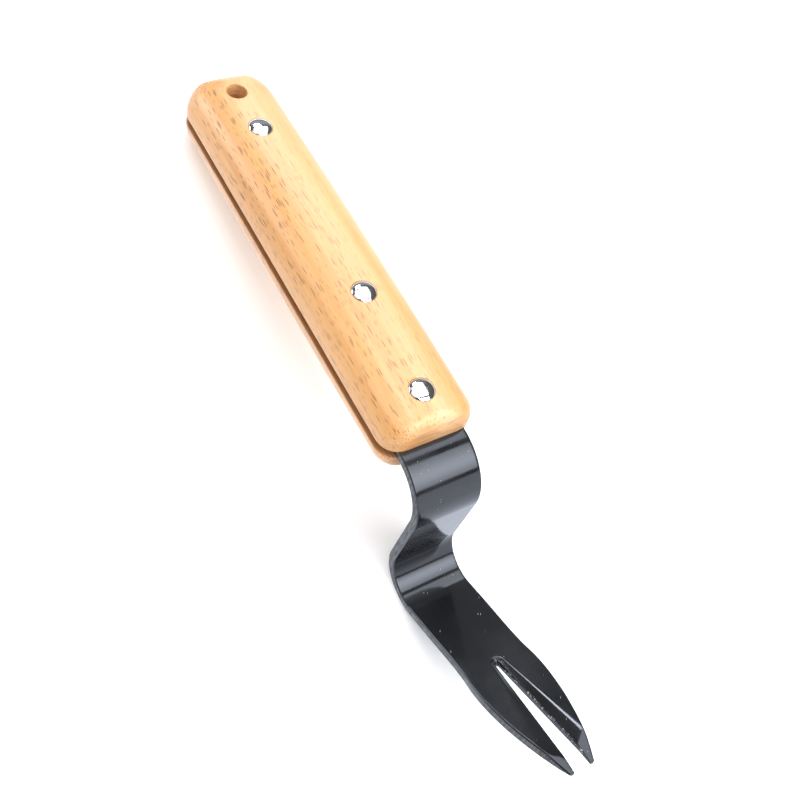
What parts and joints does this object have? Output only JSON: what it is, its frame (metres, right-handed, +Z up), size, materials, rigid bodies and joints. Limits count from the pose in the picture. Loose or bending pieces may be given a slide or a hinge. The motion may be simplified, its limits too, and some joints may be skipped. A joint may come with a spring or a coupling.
{
  "type": "hand weeder",
  "caption": "Hand weeder: a notched steel blade on a crank-bent neck, riveted between rounded wooden handle scales, with a hang hole in the butt.",
  "frame": {"origin": "middle of the bounding box's underside: the plane that the heel bend and the butt rest on", "axes": "+Z up with the tool lying on its heel and butt, rivet heads and blade face up; +X towards the blade's points; +Y across the tool, which is symmetric about Y = 0. The handle rises forwards by 13.74 degrees"},
  "size_m": [0.2218, 0.0284, 0.0511],
  "materials": {
    "coated_steel": "gloss",
    "beech": "satin",
    "nickel": "polished"
  },
  "bodies": {
    "root": {"fork_blade": "coated_steel", "upper_scale": "beech", "lower_scale": "beech", "front_rivet_post": "nickel", "front_rivet_cap": "nickel", "middle_rivet_post": "nickel", "middle_rivet_cap": "nickel", "rear_rivet_post": "nickel", "rear_rivet_cap": "nickel"}
  },
  "joints": []
}
